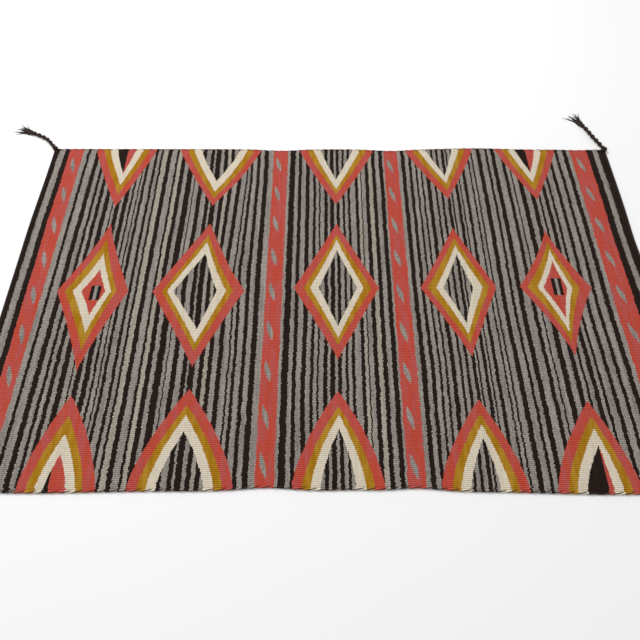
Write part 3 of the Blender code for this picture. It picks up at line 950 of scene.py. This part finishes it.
def weave_material():
    """Wool in a weft-faced weave: yarns by stripe and motif, beads, heather, streaks and ribs, with painted
    shade in the ribs' valleys and between the beads and painted highlight on the crowns and domes.
    """
    graph = Graph("tapestry_wool")
    u, v, _ = graph.split(graph.attribute("weave")["Vector"])
    warp = graph.split(graph.attribute("core_and_warp")["Vector"])[1]
    odd_shift = graph.times(graph.math("MODULO", graph.math("FLOOR", warp), 2.0), 0.5)
    pick = graph.plus(graph.math("DIVIDE", u, PICK_PITCH_MM), odd_shift)
    pick_number = graph.math("FLOOR", pick)
    bead_u = graph.times(graph.minus(graph.plus(pick_number, 0.5), odd_shift), PICK_PITCH_MM)
    y = graph.times(v, WARP_PITCH_MM)
    warp_y = graph.times(warp, WARP_PITCH_MM)

    slow = graph.minus(graph.grain(bead_u, warp_y, SLOW_DRIFT), 0.5)
    group = graph.math("FLOOR", graph.times(bead_u, GROUPS_PER_MM))
    quick = graph.minus(graph.random(graph.join(warp, group)), 0.5)
    wobble = graph.plus(graph.times(slow, SLOW_STRAY_MM), graph.times(quick, QUICK_STRAY_MM))
    yarn = pattern_yarn(graph, bead_u, wobble)

    base = graph.by_yarn(yarn, [srgb(item.base) for item in YARNS])
    second = graph.by_yarn(yarn, [srgb(item.second) for item in YARNS])
    amounts = graph.by_yarn(yarn, [(item.spread, item.streak, 0.0, 1.0) for item in YARNS])
    spread, streak, _ = graph.split(amounts)
    streaks = graph.grain(bead_u, y, STREAKS)
    wool = graph.blend(graph.times(graph.rise(streaks, 0.38, 0.62), streak), base, second)

    bead_tone = graph.minus(graph.random(graph.join(pick_number, warp)), 0.5)
    flecks = graph.minus(graph.rise(graph.grain(u, y, FLECKS), 0.34, 0.66), 0.5)
    bands = graph.minus(graph.grain(bead_u, y, BANDS), 0.5)
    tone = graph.plus(graph.times(bead_tone, BEAD_TONE), graph.times(flecks, FLECK_TONE))
    tone = graph.plus(tone, graph.times(bands, BAND_TONE))
    tone = graph.plus(1.0, graph.times(tone, spread))
    # Painted shade and highlight on top of the yarns' own tone: the colour is darkened in the ribs' valleys
    # and at the beads' edges, and lightened on the ribs' crowns and the beads' domes
    crown = graph.math("SINE", graph.times(graph.math("FRACT", v), math.pi))
    dome = graph.math("SINE", graph.times(graph.math("FRACT", pick), math.pi))
    tone_and_painted_shade = graph.times(tone, graph.plus(VALLEY_PAINTED_SHADE, graph.times(crown, CROWN_PAINTED_HIGHLIGHT)))
    tone_and_painted_shade = graph.times(tone_and_painted_shade, graph.plus(BEAD_EDGE_PAINTED_SHADE, graph.times(dome, BEAD_DOME_PAINTED_HIGHLIGHT)))
    colour = graph.blend(1.0, wool, graph.grey(tone_and_painted_shade), "MULTIPLY")
    graph.put(graph.shader.inputs["Base Color"], colour)

    fibre = graph.grain(u, y, FIBRE)
    height = graph.plus(dome, graph.times(fibre, 0.8))
    bump = graph.add("ShaderNodeBump", {"Strength": 0.8, "Distance": 0.0004, "Height": height})
    graph.put(graph.shader.inputs["Normal"], bump.outputs[0])
    graph.put(graph.shader.inputs["Roughness"], graph.plus(0.86, graph.times(fibre, 0.14)))
    graph.shader.inputs["Specular IOR Level"].default_value = 0.08
    graph.shader.inputs["Sheen Weight"].default_value = 0.02
    graph.shader.inputs["Sheen Roughness"].default_value = 0.6
    return graph.material


def cord_material():
    """Dark brown twisted wool, each strand a little different in tone, with painted shade in the twist's
    grooves and painted highlight on its ridges.
    """
    graph = Graph("dark_cord_wool")
    distance, angle, tone = graph.split(graph.attribute("strand")["Vector"])
    distance_mm = graph.math("DIVIDE", distance, MM)
    twist = graph.plus(graph.times(distance_mm, 1.5), graph.times(angle, 2.0))
    ridges = graph.math("SINE", twist)
    fuzz = graph.noise(graph.join(graph.times(distance_mm, 0.9), angle, graph.times(tone, 50.0)), 3.0, 0.65)
    tone_and_painted_shade = graph.plus(graph.times(fuzz, 1.1), graph.plus(0.30, graph.times(tone, 0.35)))
    # Painted shade in the twist's grooves and painted highlight on its ridges
    tone_and_painted_shade = graph.times(tone_and_painted_shade, graph.plus(0.90, graph.times(ridges, 0.14)))
    colour = graph.blend(1.0, srgb(CORD_BROWN), graph.grey(tone_and_painted_shade), "MULTIPLY")
    graph.put(graph.shader.inputs["Base Color"], colour)
    height = graph.plus(ridges, graph.times(fuzz, 1.4))
    bump = graph.add("ShaderNodeBump", {"Strength": 0.7, "Distance": 0.0003, "Height": height})
    graph.put(graph.shader.inputs["Normal"], bump.outputs[0])
    graph.shader.inputs["Roughness"].default_value = 0.92
    graph.shader.inputs["Specular IOR Level"].default_value = 0.2
    graph.shader.inputs["Sheen Weight"].default_value = 0.08
    return graph.material


def make_floor():
    """A plain pale floor under the rug."""
    side = FLOOR_HALF_SIDE
    corners = [(-side, -side, 0.0), (side, -side, 0.0), (side, side, 0.0), (-side, side, 0.0)]
    mesh = bpy.data.meshes.new("floor")
    mesh.from_pydata(corners, [], [(0, 1, 2, 3)])
    floor = bpy.data.objects.new("floor", mesh)
    floor.location.z = -FLOOR_DROP
    bpy.context.scene.collection.objects.link(floor)
    graph = Graph("floor_white")
    graph.shader.inputs["Base Color"].default_value = (0.93, 0.93, 0.93, 1.0)
    graph.shader.inputs["Roughness"].default_value = 0.9
    mesh.materials.append(graph.material)


def make_light(name, place, target, size, power):
    data = bpy.data.lights.new(name, "AREA")
    data.shape = "DISK"
    data.size = size
    data.energy = power
    light = bpy.data.objects.new(name, data)
    light.location = place
    light.rotation_euler = (Vector(target) - Vector(place)).to_track_quat("-Z", "Y").to_euler()
    bpy.context.scene.collection.objects.link(light)


def make_studio():
    """Soft studio light and the photograph's camera."""
    scene = bpy.context.scene
    world = bpy.data.worlds.new("studio")
    world.use_nodes = True
    background = world.node_tree.nodes["Background"]
    background.inputs["Color"].default_value = (1.0, 1.0, 1.0, 1.0)
    background.inputs["Strength"].default_value = WORLD_STRENGTH
    scene.world = world
    make_light("key_light", KEY_PLACE, (0.0, 0.0, 0.0), KEY_SIZE, KEY_POWER)
    scene.view_settings.view_transform = "Standard"
    data = bpy.data.cameras.new("camera")
    data.sensor_width = 36.0
    data.lens = data.sensor_width * FOCAL_PIXELS / PHOTO_SIDE
    data.clip_end = 100.0
    camera = bpy.data.objects.new("camera", data)
    camera.location = CAMERA_PLACE
    camera.rotation_euler = Euler((CAMERA_TILT, 0.0, CAMERA_TURN))
    scene.collection.objects.link(camera)
    scene.camera = camera


make_studio()
make_floor()
weave_wool = weave_material()
cord_wool = cord_material()
field = make_field(weave_wool)
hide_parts("rug_field")
with_field = [
    make_side_cord("side_cord_far", 1, FAR_WAVES, [cord_wool, weave_wool]),
    make_side_cord("side_cord_near", -1, NEAR_WAVES, [cord_wool, weave_wool]),
    make_end_cord("end_cord_left", -1, LEFT_WAVES, cord_wool),
    make_end_cord("end_cord_right", 1, RIGHT_WAVES, cord_wool),
]
with_field += [make_tassel(tassel, cord_wool) for tassel in TASSELS]
